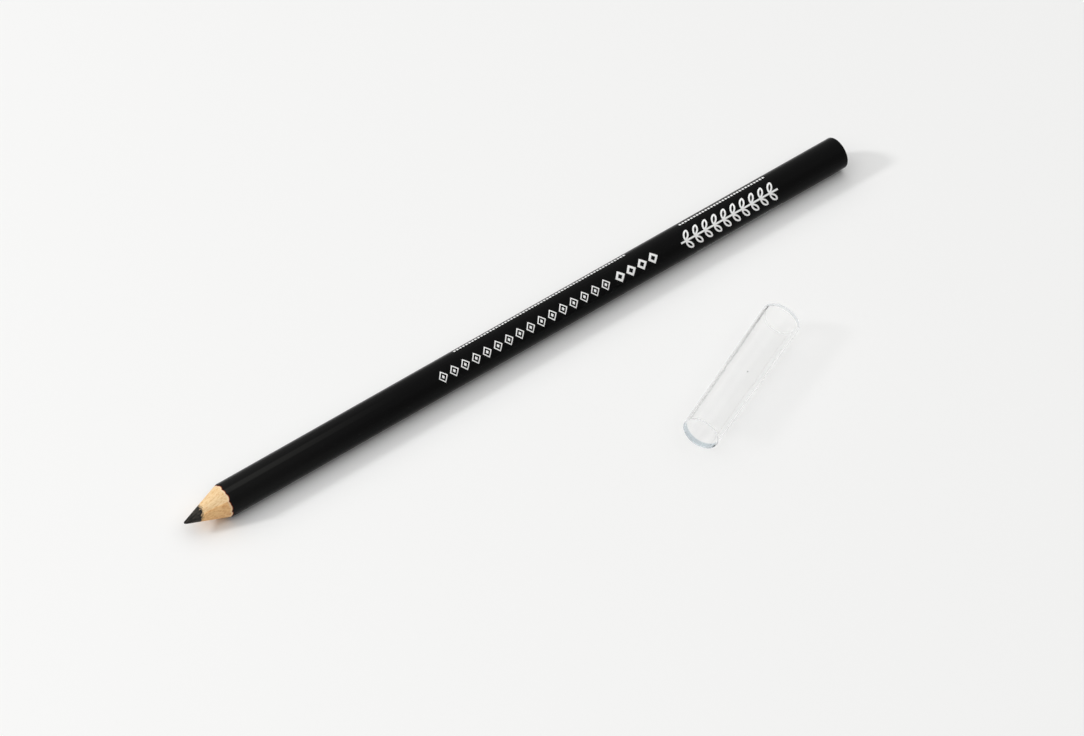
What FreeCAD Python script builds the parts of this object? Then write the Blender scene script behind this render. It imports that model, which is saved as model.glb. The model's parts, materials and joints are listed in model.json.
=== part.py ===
# A wooden kohl eyeliner pencil, with its clear cap lying beside it. Sizes are in millimetres.
# The pencil lies along X, with its point towards -X and its blunt end towards +X, and +Z is up.
# The origin is on the barrel's axis, halfway along its round length.
# A turn about the axis is measured from the side that faces -Y, rising towards +Z, in degrees.
import FreeCAD, Part
import math
import os

# Barrel, measured over the lacquer
overall_length = 175.3
barrel_diameter = 7.4
coat_thickness = 0.16
end_coat_thickness = 0.2
end_edge_round = 0.4

# Lead, and the flat plane along which two slats are glued, a little off the barrel's axis
lead_diameter = 3.1
seam_turn = 40.0
seam_offset = 0.18

# Sharpened end
point_length = 10.2
point_half_angle = 18.7
tip_round = 0.25
tip_flare = 32.0

# Flat strokes of the sharpener: the turn of each, and how far past point_length it runs out
strokes = (
    (-163.0, 0.12), (-140.0, 0.08), (-121.0, -0.05), (-98.0, 0.16),
    (-76.0, 0.02), (-52.0, 0.10), (-31.0, -0.08), (-12.0, 0.0),
    (17.0, 0.02), (31.0, -0.12), (58.0, 0.13), (78.0, 0.07),
    (105.0, 0.24), (127.0, 0.05), (149.0, 0.14), (172.0, -0.02),
)

# Outside of the cap, which is a little wider at its closed end
cap_length = 37.1
cap_mouth_wall = 0.35
cap_flare = 0.33
cap_end_wall = 0.35
cap_rim_round = 0.05
cap_end_round = 0.15

# Inside of the cap: a lip rounded up to a narrow flat, a bore that slides on the barrel, and past
# a slight step a wider bore around the point
cap_clearance = 0.05
cap_lip_flat = 0.03
cap_grip_length = 16.0
cap_step_length = 1.7
cap_step = 0.1
cap_floor_round = 0.25

# Where the cap lies: the middle of its mouth from the tip, and the way its closed end points
cap_from_tip = 98.0
cap_aside = 46.4
cap_turn = 23.2

# Sizes and places that follow
barrel_radius = barrel_diameter / 2
wood_radius = barrel_radius - coat_thickness
lead_radius = lead_diameter / 2
round_start = point_length + max(extra for turn, extra in strokes)
round_length = overall_length - end_edge_round - round_start
tip_x = -round_start - round_length / 2
end_x = tip_x + overall_length
wood_end_x = end_x - end_coat_thickness
blank_start = tip_x - barrel_radius
clear_of_barrel = 2 * barrel_diameter
cap_bore_radius = barrel_radius + cap_clearance
cap_mouth_radius = cap_bore_radius + cap_mouth_wall
cap_end_radius = cap_mouth_radius + cap_flare
cap_lip_round = cap_mouth_wall - cap_rim_round - cap_lip_flat
cap_side_length = cap_length - cap_end_round - cap_rim_round
cap_taper = math.atan(cap_flare / cap_side_length)

ORIGIN = FreeCAD.Vector(0, 0, 0)
X_AXIS = FreeCAD.Vector(1, 0, 0)
Y_AXIS = FreeCAD.Vector(0, 1, 0)
Z_AXIS = FreeCAD.Vector(0, 0, 1)


def face_turn(shape, turn):
    """Turns a shape that faces +Z about the barrel's axis until it faces the given turn."""
    shape.rotate(ORIGIN, X_AXIS, 90 - turn)
    return shape


def corner(x, y, radius, start_angle, end_angle):
    """An arc about (x, y) in the XY plane, between two angles in degrees."""
    ends = []
    for angle in (start_angle, (start_angle + end_angle) / 2, end_angle):
        turn = math.radians(angle)
        ends.append(FreeCAD.Vector(x + radius * math.cos(turn), y + radius * math.sin(turn), 0))
    return Part.Arc(*ends)


def revolved(*outline):
    """Revolves a closed outline about X: points and arcs in order, joined by straight lines."""
    starts = []
    ends = []
    edges = []
    for item in outline:
        is_point = isinstance(item, tuple)
        starts.append(FreeCAD.Vector(*item, 0) if is_point else item.StartPoint)
        ends.append(FreeCAD.Vector(*item, 0) if is_point else item.EndPoint)
        if not is_point:
            edges.append(item.toShape())
    for end, following in zip(ends, starts[1:] + starts[:1]):
        edges.append(Part.LineSegment(end, following).toShape())
    wire = Part.Wire(Part.__sortEdges__(edges))
    return Part.Face(wire).revolve(ORIGIN, X_AXIS, 360)


def rod(radius, start, end):
    """A round rod along the barrel's axis."""
    return Part.makeCylinder(radius, end - start, FreeCAD.Vector(start, 0, 0), X_AXIS)


def stroke_cutter(turn, extra):
    """The wood that one flat stroke of the sharpener takes away."""
    reach = 2 * point_length
    corner_at = FreeCAD.Vector(-reach, -clear_of_barrel, 0)
    slab = Part.makeBox(2 * reach, 2 * clear_of_barrel, clear_of_barrel, corner_at)
    slab.rotate(ORIGIN, Y_AXIS, -point_half_angle)
    slab.translate(FreeCAD.Vector(tip_x + point_length + extra, 0, barrel_radius))
    return face_turn(slab, turn)


def sharpened_form():
    """The space that the pencil fills once it is sharpened, with a sharp tip."""
    blank = rod(barrel_diameter, blank_start, end_x + barrel_diameter)
    return blank.cut([stroke_cutter(turn, extra) for turn, extra in strokes])


def worn_tip():
    """A long blunt form, round at the tip and flaring away behind it."""
    centre = tip_x + tip_round
    flare = math.radians(tip_flare)
    flare_end = centre + (lead_diameter - tip_round * math.cos(flare)) / math.tan(flare)
    return revolved(
        corner(centre, 0, tip_round, 180, 90 + tip_flare),
        (flare_end, lead_diameter),
        (end_x + lead_diameter, lead_diameter),
        (end_x + lead_diameter, 0),
    )


def lead_rod():
    """The round lead, before it is sharpened, centred on the plane of the glued slats."""
    lead = rod(lead_radius, blank_start, wood_end_x)
    lead.translate(FreeCAD.Vector(0, 0, seam_offset))
    return face_turn(lead, seam_turn + 90)


def slat(side):
    """One of two slats with its half-round groove: side 1 is above and behind, -1 in front."""
    base = 0 if side > 0 else -clear_of_barrel
    start = FreeCAD.Vector(blank_start, -clear_of_barrel, base)
    half = Part.makeBox(2 * overall_length, 2 * clear_of_barrel, clear_of_barrel, start)
    half.translate(FreeCAD.Vector(0, 0, seam_offset))
    half = face_turn(half, seam_turn + 90)
    return rod(wood_radius, blank_start, wood_end_x).common(half).cut(lead_rod())


def coat():
    """The lacquer, as a thin sleeve closed over the blunt end, before the point is cut."""
    outside = revolved(
        (blank_start, 0),
        (blank_start, barrel_radius),
        corner(end_x - end_edge_round, barrel_radius - end_edge_round, end_edge_round, 90, 0),
        (end_x, 0),
    )
    return outside.cut(rod(wood_radius, blank_start, wood_end_x))


def cap():
    """The clear cap, with the middle of its mouth at the origin and its closed end along +X."""
    floor = cap_length - cap_end_wall
    wide_radius = cap_bore_radius + cap_step
    step_end = cap_grip_length + cap_step_length
    lip_y = cap_bore_radius + cap_lip_round
    rim_y = cap_mouth_radius - cap_rim_round
    end_y = cap_end_radius - cap_end_round
    floor_y = wide_radius - cap_floor_round
    return revolved(
        corner(cap_lip_round, lip_y, cap_lip_round, 270, 180),
        corner(cap_rim_round, rim_y, cap_rim_round, 180, 90),
        corner(cap_length - cap_end_round, end_y, cap_end_round, 90, 0),
        (cap_length, 0),
        (floor, 0),
        corner(floor - cap_floor_round, floor_y, cap_floor_round, 0, 90),
        (step_end, wide_radius),
        (cap_grip_length, cap_bore_radius),
    )


def laid_down(shape):
    """The cap as it lies: on its tapered side, level with the underside of the barrel."""
    shape.rotate(ORIGIN, Y_AXIS, -math.degrees(cap_taper))
    shape.rotate(ORIGIN, Z_AXIS, cap_turn)
    side = cap_mouth_radius - cap_rim_round * math.tan(cap_taper)
    height = side * math.cos(cap_taper) - barrel_radius
    shape.translate(FreeCAD.Vector(tip_x + cap_from_tip, -cap_aside, height))
    return shape


form = sharpened_form()
pieces = {
    "kohl_lead": lead_rod().common(form).common(worn_tip()),
    "back_slat": slat(1).common(form),
    "front_slat": slat(-1).common(form),
    "lacquer_coat": coat().common(form),
    "clear_cap": laid_down(cap()),
}

os.makedirs("parts", exist_ok=True)
for name, piece in pieces.items():
    solid = piece.removeSplitter()
    box = solid.optimalBoundingBox(False)
    print(name, solid.isValid(), len(solid.Solids), "volume", round(solid.Volume, 3))
    print("  x", round(box.XMin, 3), round(box.XMax, 3), "y", round(box.YMin, 3), round(box.YMax, 3),
          "z", round(box.ZMin, 3), round(box.ZMax, 3))
    solid.exportStep("parts/" + name + ".step")
print("round length", round(round_length, 3), "tip at x", round(tip_x, 3))
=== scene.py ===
import bmesh
import bpy
import json
import math
from mathutils import Matrix, Vector


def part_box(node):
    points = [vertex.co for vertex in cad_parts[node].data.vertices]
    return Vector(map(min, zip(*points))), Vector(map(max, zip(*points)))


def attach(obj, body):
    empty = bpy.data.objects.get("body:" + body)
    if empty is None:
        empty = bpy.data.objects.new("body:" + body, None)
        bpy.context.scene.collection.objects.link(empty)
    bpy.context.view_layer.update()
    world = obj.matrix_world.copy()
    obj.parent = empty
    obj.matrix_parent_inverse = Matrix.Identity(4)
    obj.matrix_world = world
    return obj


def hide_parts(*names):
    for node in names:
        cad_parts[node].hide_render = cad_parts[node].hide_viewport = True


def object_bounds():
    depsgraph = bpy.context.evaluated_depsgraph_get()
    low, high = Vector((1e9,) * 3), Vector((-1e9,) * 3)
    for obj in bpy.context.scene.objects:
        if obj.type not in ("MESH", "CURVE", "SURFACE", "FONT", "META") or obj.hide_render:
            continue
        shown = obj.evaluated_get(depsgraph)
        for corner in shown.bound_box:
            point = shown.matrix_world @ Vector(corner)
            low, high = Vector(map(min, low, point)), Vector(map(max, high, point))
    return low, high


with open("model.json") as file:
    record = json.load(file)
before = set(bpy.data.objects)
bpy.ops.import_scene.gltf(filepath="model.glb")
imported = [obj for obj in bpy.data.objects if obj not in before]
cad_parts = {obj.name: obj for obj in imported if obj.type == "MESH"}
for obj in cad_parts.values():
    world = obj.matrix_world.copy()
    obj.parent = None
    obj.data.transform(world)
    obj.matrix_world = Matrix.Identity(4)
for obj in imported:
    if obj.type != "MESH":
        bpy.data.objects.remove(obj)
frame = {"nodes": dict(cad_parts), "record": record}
cad_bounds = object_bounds()

# The kohl lead: a rod of wax, oil and carbon black, pressed out and laid in the slats' grooves. The
# sharpener's blade has cut it to a point with narrow flats, and the first strokes wore its tip.
MM = 0.001
lead_low, lead_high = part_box("kohl_lead")
tip_x = lead_low.x
lead_centre_y = (lead_low.y + lead_high.y) / 2
lead_centre_z = (lead_low.z + lead_high.z) / 2
lead_radius = (lead_high.y - lead_low.y) / 2
kohl_black = (0.006, 0.0055, 0.005, 1)
kohl_grey = (0.045, 0.040, 0.032, 1)
kohl_bump = 0.03 * MM
splinter_colour = (0.48, 0.33, 0.19, 1)
splinter_reach = 0.572 * MM
splinter_edge = (lead_radius - 0.03 * MM, lead_radius + 0.01 * MM)
fine_detail_share = 0.55


class Amount:
    """A number or colour that varies over a surface. Arithmetic on it adds Math nodes."""

    def __init__(self, finish, socket):
        self.finish = finish
        self.socket = socket

    def out(self, name):
        """Another output of the node that this amount comes from."""
        return Amount(self.finish, self.socket.node.outputs[name])

    def math(self, operation, *values, clamp=False):
        settings = {"operation": operation, "use_clamp": clamp}
        return self.finish.node("ShaderNodeMath", settings, dict(enumerate(values)))

    def __add__(self, other):
        return self.math("ADD", self, other)

    def __mul__(self, other):
        return self.math("MULTIPLY", self, other)

    def __sub__(self, other):
        return self.math("SUBTRACT", self, other)

    def __rsub__(self, other):
        return self.math("SUBTRACT", other, self)

    def __truediv__(self, other):
        return self.math("DIVIDE", self, other)

    def __pow__(self, other):
        return self.math("POWER", self, other)

    __radd__ = __add__
    __rmul__ = __mul__

    def clamped(self):
        """The amount, held between 0 and 1."""
        return self.math("ADD", self, 0.0, clamp=True)

    def between(self, low, high):
        """An even change from low to high while the amount goes from 0 to 1."""
        return self * (high - low) + low

    def step(self, low, high):
        """A smooth rise from 0 to 1 while the amount goes from low to high."""
        settings = {"interpolation_type": "SMOOTHSTEP"}
        sockets = {"Value": self, "From Min": low, "From Max": high}
        return self.finish.node("ShaderNodeMapRange", settings, sockets)


class Finish:
    """A procedural material, or the world's shading, whose nodes are added one at a time."""

    def __init__(self, owner):
        owner.use_nodes = True
        self.owner = owner
        self.tree = owner.node_tree
        self.tree.nodes.clear()

    def node(self, kind, settings=None, sockets=None, out=0):
        """Adds a node: its settings first, then the values or links of its sockets."""
        made = self.tree.nodes.new(kind)
        for name, value in (settings or {}).items():
            setattr(made, name, value)
        for name, value in (sockets or {}).items():
            if isinstance(value, Amount):
                self.tree.links.new(value.socket, made.inputs[name])
            else:
                made.inputs[name].default_value = value
        return Amount(self, made.outputs[out]) if made.outputs else None

    def mix(self, factor, first, second):
        """A colour between two colours."""
        sockets = {0: factor, 6: first, 7: second}
        return self.node("ShaderNodeMix", {"data_type": "RGBA"}, sockets, out=2)

    def place(self):
        """Where a point of the surface is: along the pencil, and across it both ways, in metres."""
        spot = self.node("ShaderNodeTexCoord", out="Object")
        split = self.node("ShaderNodeSeparateXYZ", None, {"Vector": spot}, out="X")
        return split, split.out("Y"), split.out("Z")

    def noise(self, along, y, z, scale, detail, stretch=1.0):
        """Noise that runs along the pencil when stretch is over 1."""
        spot = self.node("ShaderNodeCombineXYZ", None, {"X": along / stretch, "Y": y, "Z": z})
        sockets = {"Vector": spot, "Scale": scale, "Detail": detail, "Roughness": fine_detail_share}
        return self.node("ShaderNodeTexNoise", None, sockets)

    def bump(self, height, distance):
        return self.node("ShaderNodeBump", None, {"Height": height, "Distance": distance})

    def shader(self, **sockets):
        """A shader whose sockets are named with a low line for each space."""
        named = {name.replace("_", " "): value for name, value in sockets.items()}
        return self.node("ShaderNodeBsdfPrincipled", None, named)

    def output(self, shader):
        self.node("ShaderNodeOutputMaterial", None, {"Surface": shader})
        return self.owner

    def surface(self, **sockets):
        """The shader that meets the light, as the material's output."""
        return self.output(self.shader(**sockets))


def distance_from(y, z, centre_y, centre_z):
    """How far a point is from a line that runs along the pencil."""
    return ((y - centre_y) ** 2 + (z - centre_z) ** 2) ** 0.5


def kohl():
    """Soft black kohl, smeared grey, with splinters of wood dragged over its rim."""
    finish = Finish(bpy.data.materials.new("kohl"))
    x, y, z = finish.place()
    smears = finish.noise(x, y, z, scale=2600, detail=4, stretch=7)
    crumbs = finish.noise(x, y, z, scale=5200, detail=2)
    edge = finish.noise(x, y, z, scale=2300, detail=1, stretch=4)
    reach = distance_from(y, z, lead_centre_y, lead_centre_z) + (edge - 0.5) * splinter_reach
    colour = finish.mix(smears.step(0.35, 0.72), kohl_black, kohl_grey)
    colour = finish.mix(reach.step(*splinter_edge), colour, splinter_colour)
    height = smears * 0.6 + crumbs * 0.4
    return finish.surface(Base_Color=colour, Roughness=smears.between(0.34, 0.56),
                          Specular_IOR_Level=0.16, Normal=finish.bump(height, kohl_bump))


def coat_with(node, material):
    """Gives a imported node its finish."""
    for slot in frame["nodes"][node].material_slots:
        slot.material = material


coat_with("kohl_lead", kohl())

# The two slats: pale, close-grained wood, grooved, filled with the lead and glued along one flat
# plane. The joint shows as a pale line along the sharpened cone, lighter wood above it and darker
# below. A thin rim by the lacquer is paler, and the sharpener has smudged kohl over the wood by the
# lead.
wood_radius = -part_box("front_slat")[0].z
back_wood = ((0.72, 0.46, 0.215, 1), (0.87, 0.635, 0.36, 1))
front_wood = ((0.72, 0.39, 0.155, 1), (0.90, 0.57, 0.265, 1))
wood_bump = 0.010 * MM
fleck_colour = (0.64, 0.27, 0.09, 1)
back_flecks, front_flecks = 0.35, 0.75
pale_rim_colour = (0.86, 0.70, 0.48, 1)
pale_rim_edge = (wood_radius - 0.17 * MM, wood_radius - 0.03 * MM)
pale_rim_waver = 0.16 * MM
smudge_colour = (0.10, 0.075, 0.05, 1)
smudge_edge = (0.10 * MM, -0.02 * MM)
smudge_reach = 0.7 * MM


def wood(name, tones, flecks):
    """Wood whose fibres run along the pencil, between two tones, with short darker flecks."""
    finish = Finish(bpy.data.materials.new(name))
    x, y, z = finish.place()
    fibres = finish.noise(x, y, z, scale=4200, detail=3, stretch=22)
    clouds = finish.noise(x, y, z, scale=1100, detail=2, stretch=5)
    dashes = finish.noise(x, y, z, scale=3000, detail=1, stretch=8)
    grain = fibres * 0.68 + clouds * 0.32
    colour = finish.mix(grain.step(0.34, 0.58), *tones)
    colour = finish.mix(dashes.step(0.58, 0.70) * flecks, colour, fleck_colour)
    rim = (distance_from(y, z, 0.0, 0.0) + (fibres - 0.5) * pale_rim_waver).step(*pale_rim_edge)
    colour = finish.mix(rim * 0.7, colour, pale_rim_colour)
    from_lead = distance_from(y, z, lead_centre_y, lead_centre_z) - lead_radius
    smudge = (from_lead - (fibres - 0.5) * smudge_reach).step(*smudge_edge)
    colour = finish.mix(smudge * 0.8, colour, smudge_colour)
    height = fibres * 0.7 + dashes * 0.3
    return finish.surface(Base_Color=colour, Roughness=fibres.between(0.52, 0.67),
                          Specular_IOR_Level=0.3, Normal=finish.bump(height, wood_bump))


coat_with("back_slat", wood("upper_slat_wood", back_wood, back_flecks))
coat_with("front_slat", wood("lower_slat_wood", front_wood, front_flecks))

# The lacquer: several dips of black over a red-brown ground coat, closed over the blunt end. The
# sharpener has cut it to scallops, and the thin edge of the ground coat shows along them. A painted
# sheen greys it towards the point, with a painted highlight along a narrow band on top.
mounts = {mount["name"]: mount for mount in frame["record"]["mounts"]}
barrel_radius = mounts["barrel"]["dims"]["r_mm"] * MM
end_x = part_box("lacquer_coat")[1].x
lacquer_black = (0.0022, 0.0022, 0.0023, 1)
lacquer_dust = (0.009, 0.009, 0.009, 1)
# A painted sheen greys the lacquer towards the point, and a painted highlight lies along a narrow band
# on top.
lacquer_painted_sheen = (0.021, 0.021, 0.020, 1)
lacquer_bump = 0.012 * MM
ground_red = (0.30, 0.055, 0.02, 1)
ground_depth = (0.055 * MM, 0.033 * MM)
ground_ends = (20 * MM, 30 * MM)
painted_sheen_reach = (60 * MM, 8 * MM)
painted_highlight_turn = math.radians(75.5)
painted_highlight_spread = (math.radians(11), math.radians(4))


def lacquer():
    """Satin black lacquer with a little dust, and a painted sheen and highlight towards the point."""
    finish = Finish(bpy.data.materials.new("black_lacquer"))
    x, y, z = finish.place()
    radius = distance_from(y, z, 0.0, 0.0)
    waves = finish.noise(x, y, z, scale=260, detail=2, stretch=5)
    dust = finish.noise(x, y, z, scale=4200, detail=2)
    colour = finish.mix(dust.step(0.60, 0.78) * 0.6, lacquer_black, lacquer_dust)
    # Painted sheen towards the point, with a painted highlight along a narrow band on top.
    painted_sheen = x.step(tip_x + painted_sheen_reach[0], tip_x + painted_sheen_reach[1])
    facing_highlight = (z * math.sin(painted_highlight_turn) - y * math.cos(painted_highlight_turn)) / radius
    painted_highlight = facing_highlight.step(math.cos(painted_highlight_spread[0]), math.cos(painted_highlight_spread[1]))
    colour = finish.mix(painted_sheen * painted_highlight.between(0.22, 0.87), colour, lacquer_painted_sheen)
    ground = radius.step(wood_radius + ground_depth[0], wood_radius + ground_depth[1])
    off_blunt_end = x.step(end_x - ground_ends[0], end_x - ground_ends[1])
    colour = finish.mix(ground * off_blunt_end, colour, ground_red)
    height = waves * 0.8 + dust * 0.2
    return finish.surface(Base_Color=colour, Roughness=waves.between(0.20, 0.30),
                          Specular_IOR_Level=0.052, Normal=finish.bump(height, lacquer_bump))


coat_with("lacquer_coat", lacquer())

# The white print: one thick pass of screen ink on the front and the top. It is a plain ornament: a
# chain of open lozenges, four bold ones, a leafy branch, and fine rows of dashes. The sizes of the
# shapes are in millimetres, each start is measured from the tip, and the turns are in degrees.
ink_white = (0.95, 0.95, 0.94, 1)
ink_shade = (0.90, 0.90, 0.89, 1)
ink_bump = 0.01 * MM
ink_foot = -0.03 * MM
ink_top = 0.012 * MM
longest_flat = 0.45 * MM


def ink():
    """Matt white ink, slightly uneven."""
    finish = Finish(bpy.data.materials.new("white_ink"))
    x, y, z = finish.place()
    grain = finish.noise(x, y, z, scale=5000, detail=2)
    colour = finish.mix(grain.step(0.3, 0.7), ink_shade, ink_white)
    return finish.surface(Base_Color=colour, Roughness=0.5, Normal=finish.bump(grain, ink_bump))


def lozenge(width, height):
    """A flat lozenge about the origin, in millimetres."""
    shape = bmesh.new()
    bmesh.ops.create_circle(shape, cap_ends=True, segments=4, radius=0.5)
    bmesh.ops.scale(shape, verts=shape.verts, vec=(width, height, 1))
    return shape


def leaf(length, width):
    """A flat leaf from the origin along X, narrower towards its two ends, in millimetres."""
    shape = bmesh.new()
    bmesh.ops.create_circle(shape, cap_ends=True, segments=12, radius=0.5)
    for vert in shape.verts:
        vert.co.y *= width / length * (1 - abs(2 * vert.co.x) ** 3 * 0.25)
    bmesh.ops.scale(shape, verts=shape.verts, vec=(length, length, 1))
    bmesh.ops.translate(shape, verts=shape.verts, vec=(length / 2, 0, 0))
    return shape


def bar(width, height):
    """A flat bar about the origin, in millimetres."""
    shape = bmesh.new()
    bmesh.ops.create_grid(shape, x_segments=1, y_segments=1, size=0.5)
    bmesh.ops.scale(shape, verts=shape.verts, vec=(width, height, 1))
    return shape


def opened(shape, stroke):
    """Leaves only a stroke of ink along the outline of a flat shape."""
    faces = list(shape.faces)
    bmesh.ops.inset_region(shape, faces=faces, thickness=stroke, use_boundary=True,
                           use_even_offset=True)
    bmesh.ops.delete(shape, geom=faces, context="FACES")
    return shape


def stamped(sheet, shape, x, height=0.0, angle=0.0):
    """Adds a flat shape to a sheet of print, turned and set in its place."""
    spot = Matrix.Translation((x, height, 0)) @ Matrix.Rotation(math.radians(angle), 4, "Z")
    bmesh.ops.transform(shape, matrix=spot, verts=shape.verts)
    mesh = bpy.data.meshes.new("stamp")
    shape.to_mesh(mesh)
    shape.free()
    sheet.from_mesh(mesh)
    bpy.data.meshes.remove(mesh)


def printed(name, sheet, from_tip, turn, material):
    """Wraps a flat sheet of print on the barrel as a thin film of ink, and makes it a piece."""
    bmesh.ops.scale(sheet, verts=sheet.verts, vec=(MM, MM, MM))
    long_edges = [edge for edge in sheet.edges if edge.calc_length() > longest_flat]
    bmesh.ops.subdivide_edges(sheet, edges=long_edges, cuts=3, use_grid_fill=True)
    bmesh.ops.triangulate(sheet, faces=sheet.faces)
    top = bmesh.ops.extrude_face_region(sheet, geom=list(sheet.faces))
    raised = [item for item in top["geom"] if isinstance(item, bmesh.types.BMVert)]
    for vert in sheet.verts:
        vert.co.z = ink_foot
    for vert in raised:
        vert.co.z = ink_top
    for vert in sheet.verts:
        angle = math.radians(turn) + vert.co.y / barrel_radius
        radius = barrel_radius + vert.co.z
        x = tip_x + from_tip * MM + vert.co.x
        vert.co = (x, -radius * math.cos(angle), radius * math.sin(angle))
    bmesh.ops.recalc_face_normals(sheet, faces=sheet.faces)
    mesh = bpy.data.meshes.new(name)
    sheet.to_mesh(mesh)
    sheet.free()
    piece = bpy.data.objects.new(name, mesh)
    bpy.context.scene.collection.objects.link(piece)
    mesh.materials.append(material)
    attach(piece, "root")


white_ink = ink()
lozenge_turn = 50.0
chain_start, chain_pitch, chain_count = 64.9, 2.9, 16
chain_width, chain_height, chain_stroke = 2.3, 2.7, 0.24
heart_width, heart_height = 0.7, 0.9
chain = bmesh.new()
for i in range(chain_count):
    stamped(chain, opened(lozenge(chain_width, chain_height), chain_stroke), i * chain_pitch)
    stamped(chain, lozenge(heart_width, heart_height), i * chain_pitch)
printed("lozenge_chain", chain, chain_start, lozenge_turn, white_ink)

bold_start, bold_pitch, bold_count = 112.3, 3.0, 4
bold_width, bold_height, bold_stroke = 2.6, 2.7, 0.5
bold = bmesh.new()
for i in range(bold_count):
    stamped(bold, opened(lozenge(bold_width, bold_height), bold_stroke), i * bold_pitch)
printed("bold_lozenges", bold, bold_start, lozenge_turn, white_ink)

branch_start, branch_turn = 128.9, 45.0
branch_length, branch_width = 27.0, 0.42
leaf_pairs, first_leaf, leaf_pitch = 10, 1.2, 2.6
leaf_length, leaf_width, leaf_stroke = 2.6, 1.35, 0.40
leaf_aside, leaf_turn = 0.12, 52
branch = bmesh.new()
stamped(branch, bar(branch_length, branch_width), branch_length / 2)
for i in range(leaf_pairs):
    for side in (1, -1):
        stamped(branch, opened(leaf(leaf_length, leaf_width), leaf_stroke),
                first_leaf + i * leaf_pitch, side * leaf_aside, side * leaf_turn)
printed("leafy_branch", branch, branch_start, branch_turn, white_ink)

dash_length, dash_pitch = 0.5, 0.8
dash_rows = (
    # the name of the row, its number of dashes, their height, the row's start and its turn
    ("fine_dashes_left", 58, 0.55, 71.0, 118.0),
    ("fine_dashes_right", 30, 0.55, 131.8, 112.0),
    ("fine_dashes_low", 30, 0.3, 133.4, -32.0),
)
for row_name, dash_count, dash_height, row_start, row_turn in dash_rows:
    row = bmesh.new()
    for i in range(dash_count):
        stamped(row, bar(dash_length, dash_height), i * dash_pitch)
    printed(row_name, row, row_start, row_turn, white_ink)

# The clear cap: one thin wall of clear moulded plastic, pulled off. It grips the barrel over its mouth
# half, steps out a little around the point, and widens to a thin closed end. Its lip is rounded, with
# a painted blue-grey shade below. A tiny dark speck lies in it.
grip = mounts["cap_bore"]
deep = mounts["cap_point_bore"]
cap_lip_round = 0.27 * MM
cap_rim_round = 0.05 * MM
cap_end_round = 0.15 * MM
cap_floor_round = 0.25 * MM
cap_step_round = 0.5 * MM
cap_end_wall = 0.35 * MM
cap_axis = -Vector(grip["axis"])
grip_end = cap_lip_round + grip["dims"]["length_mm"] * MM
cap_mouth = Vector(grip["pos_m"]) - cap_axis * (cap_lip_round + grip_end) / 2
deep_middle = (Vector(deep["pos_m"]) - cap_mouth).dot(cap_axis)
deep_start = deep_middle - deep["dims"]["length_mm"] * MM / 2
cap_floor = deep_middle + deep["dims"]["length_mm"] * MM / 2 + cap_floor_round
cap_length = cap_floor + cap_end_wall
bore_radius = grip["dims"]["r_mm"] * MM
deep_radius = deep["dims"]["r_mm"] * MM
mouth_radius = 4.1 * MM
closed_radius = 4.43 * MM
cap_segments = 256
round_segments = 8
sharp_from = math.radians(3)
cap_back = cap_axis.cross(Vector((0, 0, -1))).normalized()
plastic_clear = (1.0, 1.0, 0.998, 1)
plastic_ripple = 0.003 * MM
# The painted blue-grey shade on the lower part of the lip:
lip_painted_shade = (0.64, 0.71, 0.75, 1)
lip_shade_way = cap_back * 0.42 - Vector((0, 0, 0.91))
lip_shade_low_edge = (0.1 * MM, 0.6 * MM)
lip_shade_back_edge = (1.25 * MM, 1.10 * MM)
speck_at = (21.9, -41.64, 4.21)
speck_edge = (0.16 * MM, 0.10 * MM)
speck_colour = (0.05, 0.05, 0.05, 1)
straight_colour = (0.978, 0.978, 0.978, 1)
rim_shade = 0.35
lamp_way = cap_back * 0.784 + Vector((0, 0, 0.62))
lamp_side = (0.55 * bore_radius, 0.95 * bore_radius)
lamp_side_shade = 0.13
most_turns = 2.5
leaving_colour = (0.97, 0.98, 0.985, 1)


def measured(spot, start, way):
    """How far a point lies from a start, measured along a way."""
    return sum((spot[i] - start[i]) * way[i] for i in range(3))


def clear_plastic():
    """Clear plastic. Light on its way to the floor passes it straight, less of it near the edges and
    through the side that faces the lamp. Light caught in the wall leaves it after a few turns."""
    finish = Finish(bpy.data.materials.new("clear_plastic"))
    spot = finish.place()
    ripple = finish.noise(*spot, scale=180, detail=1)
    # A painted blue-grey shade on the lower part of the lip.
    lip = measured(spot, cap_mouth, lip_shade_way).step(*lip_shade_low_edge)
    lip = lip * measured(spot, cap_mouth, cap_axis).step(*lip_shade_back_edge)
    from_speck = sum((spot[i] - speck_at[i] * MM) ** 2 for i in range(3)) ** 0.5
    colour = finish.mix(lip, plastic_clear, lip_painted_shade)
    colour = finish.mix(from_speck.step(*speck_edge), colour, speck_colour)
    plastic = finish.shader(Base_Color=colour, Roughness=0.0, IOR=1.5, Transmission_Weight=1.0,
                            Normal=finish.bump(ripple, plastic_ripple))
    straight = finish.node("ShaderNodeBsdfTransparent", None, {"Color": straight_colour})
    leaving = finish.node("ShaderNodeBsdfTransparent", None, {"Color": leaving_colour})
    ray = finish.node("ShaderNodeLightPath", out="Is Shadow Ray")
    rim = finish.node("ShaderNodeLayerWeight", None, {"Blend": 0.5}, out="Facing") ** 3
    lamp_lit = measured(spot, cap_mouth, lamp_way).step(*lamp_side)
    passing = (ray + ray.out("Is Diffuse Ray")).clamped() * (1 - rim * rim_shade)
    passing = passing * (1 - lamp_lit * lamp_side_shade)
    turns = ray.out("Glossy Depth")
    caught = turns.math("GREATER_THAN", turns, most_turns)
    inside = finish.node("ShaderNodeMixShader", None, {0: caught, 1: plastic, 2: leaving})
    mixed = finish.node("ShaderNodeMixShader", None, {0: passing, 1: inside, 2: straight})
    return finish.output(mixed)


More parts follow.
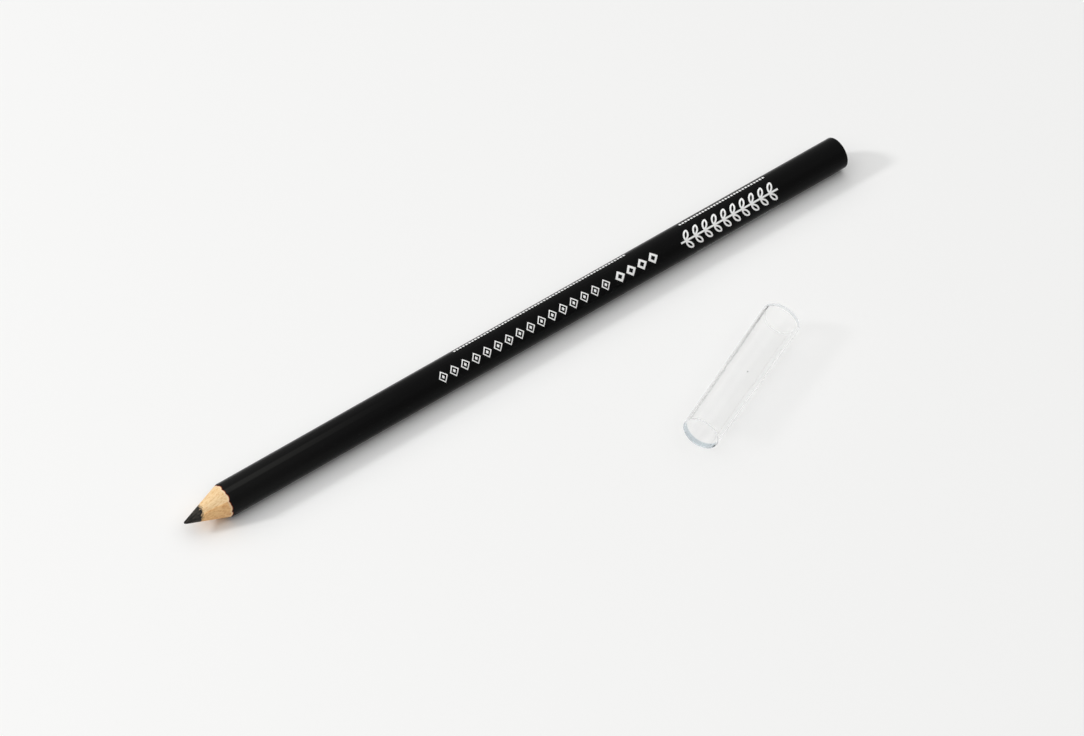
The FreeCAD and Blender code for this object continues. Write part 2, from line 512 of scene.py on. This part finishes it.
def clear_cap():
    """The cap's wall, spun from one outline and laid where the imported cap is."""
    outline = (
        # how far along the cap, how far from its axis, and how much of the corner is rounded
        (0, mouth_radius, cap_rim_round),
        (cap_length, closed_radius, cap_end_round),
        (cap_length, 0, 0),
        (cap_floor, 0, 0),
        (cap_floor, deep_radius, cap_floor_round),
        (deep_start, deep_radius, cap_step_round),
        (grip_end, bore_radius, cap_step_round),
        (0, bore_radius, cap_lip_round),
    )
    wall = bmesh.new()
    verts = [wall.verts.new((along, radius, 0)) for along, radius, rounding in outline]
    for first, second in zip(verts, verts[1:] + verts[:1]):
        if first.co.y or second.co.y:
            wall.edges.new((first, second))
    for vert, (along, radius, rounding) in zip(verts, outline):
        if rounding:
            bmesh.ops.bevel(wall, geom=[vert], offset=rounding, segments=round_segments,
                            profile=0.5, affect="VERTICES", material=-1)
    bmesh.ops.spin(wall, geom=wall.verts[:] + wall.edges[:], axis=(1, 0, 0), cent=(0, 0, 0),
                   angle=math.tau, steps=cap_segments, use_merge=True)
    bmesh.ops.remove_doubles(wall, verts=wall.verts, dist=0.0001 * MM)
    bmesh.ops.recalc_face_normals(wall, faces=wall.faces)
    laid = cap_axis.to_track_quat("X", "Z").to_matrix().to_4x4()
    bmesh.ops.transform(wall, matrix=Matrix.Translation(cap_mouth) @ laid, verts=wall.verts)
    mesh = bpy.data.meshes.new("spun_cap")
    wall.to_mesh(mesh)
    wall.free()
    mesh.shade_smooth()
    mesh.set_sharp_from_angle(angle=sharp_from)
    piece = bpy.data.objects.new("spun_cap", mesh)
    bpy.context.scene.collection.objects.link(piece)
    mesh.materials.append(clear_plastic())
    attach(piece, "root")
    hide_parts("clear_cap")


clear_cap()

# The floor: a plain sheet of off-white board, matt and wide enough to fill the photographed view. It
# lies level with the underside of the barrel and the cap.
floor_size = 8.0
floor_colour = (0.895, 0.895, 0.887, 1)
floor_mesh = bpy.data.meshes.new("floor")
floor_shape = bmesh.new()
bmesh.ops.create_grid(floor_shape, x_segments=1, y_segments=1, size=floor_size / 2)
bmesh.ops.translate(floor_shape, verts=floor_shape.verts, vec=(0, 0, cad_bounds[0].z))
floor_shape.to_mesh(floor_mesh)
floor_shape.free()
floor = bpy.data.objects.new("floor", floor_mesh)
bpy.context.scene.collection.objects.link(floor)
board = Finish(bpy.data.materials.new("board"))
floor_mesh.materials.append(
    board.surface(Base_Color=floor_colour, Roughness=0.9, Specular_IOR_Level=0.1))

# Light: a small key lamp from the left and behind, and a wide bright ceiling over a dim room. The
# camera, gloss and clear plastic see the room paler than it lights the pencil.
key_from = Vector((-0.745, 0.408, 0.528))
key_distance = 1.5
key_size = 0.20
key_power = 7.2
key = bpy.data.objects.new("key", bpy.data.lights.new("key", "AREA"))
key.data.shape = "SQUARE"
key.data.size = key_size
key.data.energy = key_power
key.location = key_from.normalized() * key_distance
key.rotation_euler = key_from.to_track_quat("Z", "Y").to_euler()
key.visible_camera = False
bpy.context.scene.collection.objects.link(key)

room_light = 0.05
room_look = 0.72
ceiling_light = 1.16
ceiling_look = 1.0
ceiling_way = (-0.053, 0.099, 0.994)
ceiling_edge = (0.396, 0.664)
world = bpy.data.worlds.new("room")
bpy.context.scene.world = world
room = Finish(world)
way = room.node("ShaderNodeTexCoord", out="Generated")
height = room.node("ShaderNodeVectorMath", {"operation": "DOT_PRODUCT"}, {0: way, 1: ceiling_way},
                   out="Value")
ray = room.node("ShaderNodeLightPath", out="Is Camera Ray")
seen = (ray + ray.out("Is Glossy Ray") + ray.out("Is Transmission Ray")).clamped()
low = seen.between(room_light, room_look)
high = seen.between(ceiling_light, ceiling_look)
strength = height.step(*ceiling_edge).between(low, high)
background = room.node("ShaderNodeBackground", None, {"Color": (1, 1, 1, 1), "Strength": strength})
room.node("ShaderNodeOutputWorld", None, {"Surface": background})

# The camera, with a long lens, from above and in front of the barrel. It stands where the
# photographed outlines of the barrel and the cap put it.
camera_at = Vector((-478.29, -601.50, 782.65)) * MM
camera_turn = math.radians(38.511)
camera_fall = math.radians(46.044)
camera = bpy.data.objects.new("camera", bpy.data.cameras.new("camera"))
camera.location = camera_at
camera.rotation_euler = (math.pi / 2 - camera_fall, 0, -camera_turn)
camera.data.sensor_width = 36
camera.data.lens = 172.6
camera.data.clip_start = 0.05
bpy.context.scene.collection.objects.link(camera)
bpy.context.scene.camera = camera
bpy.context.scene.view_settings.view_transform = "Standard"
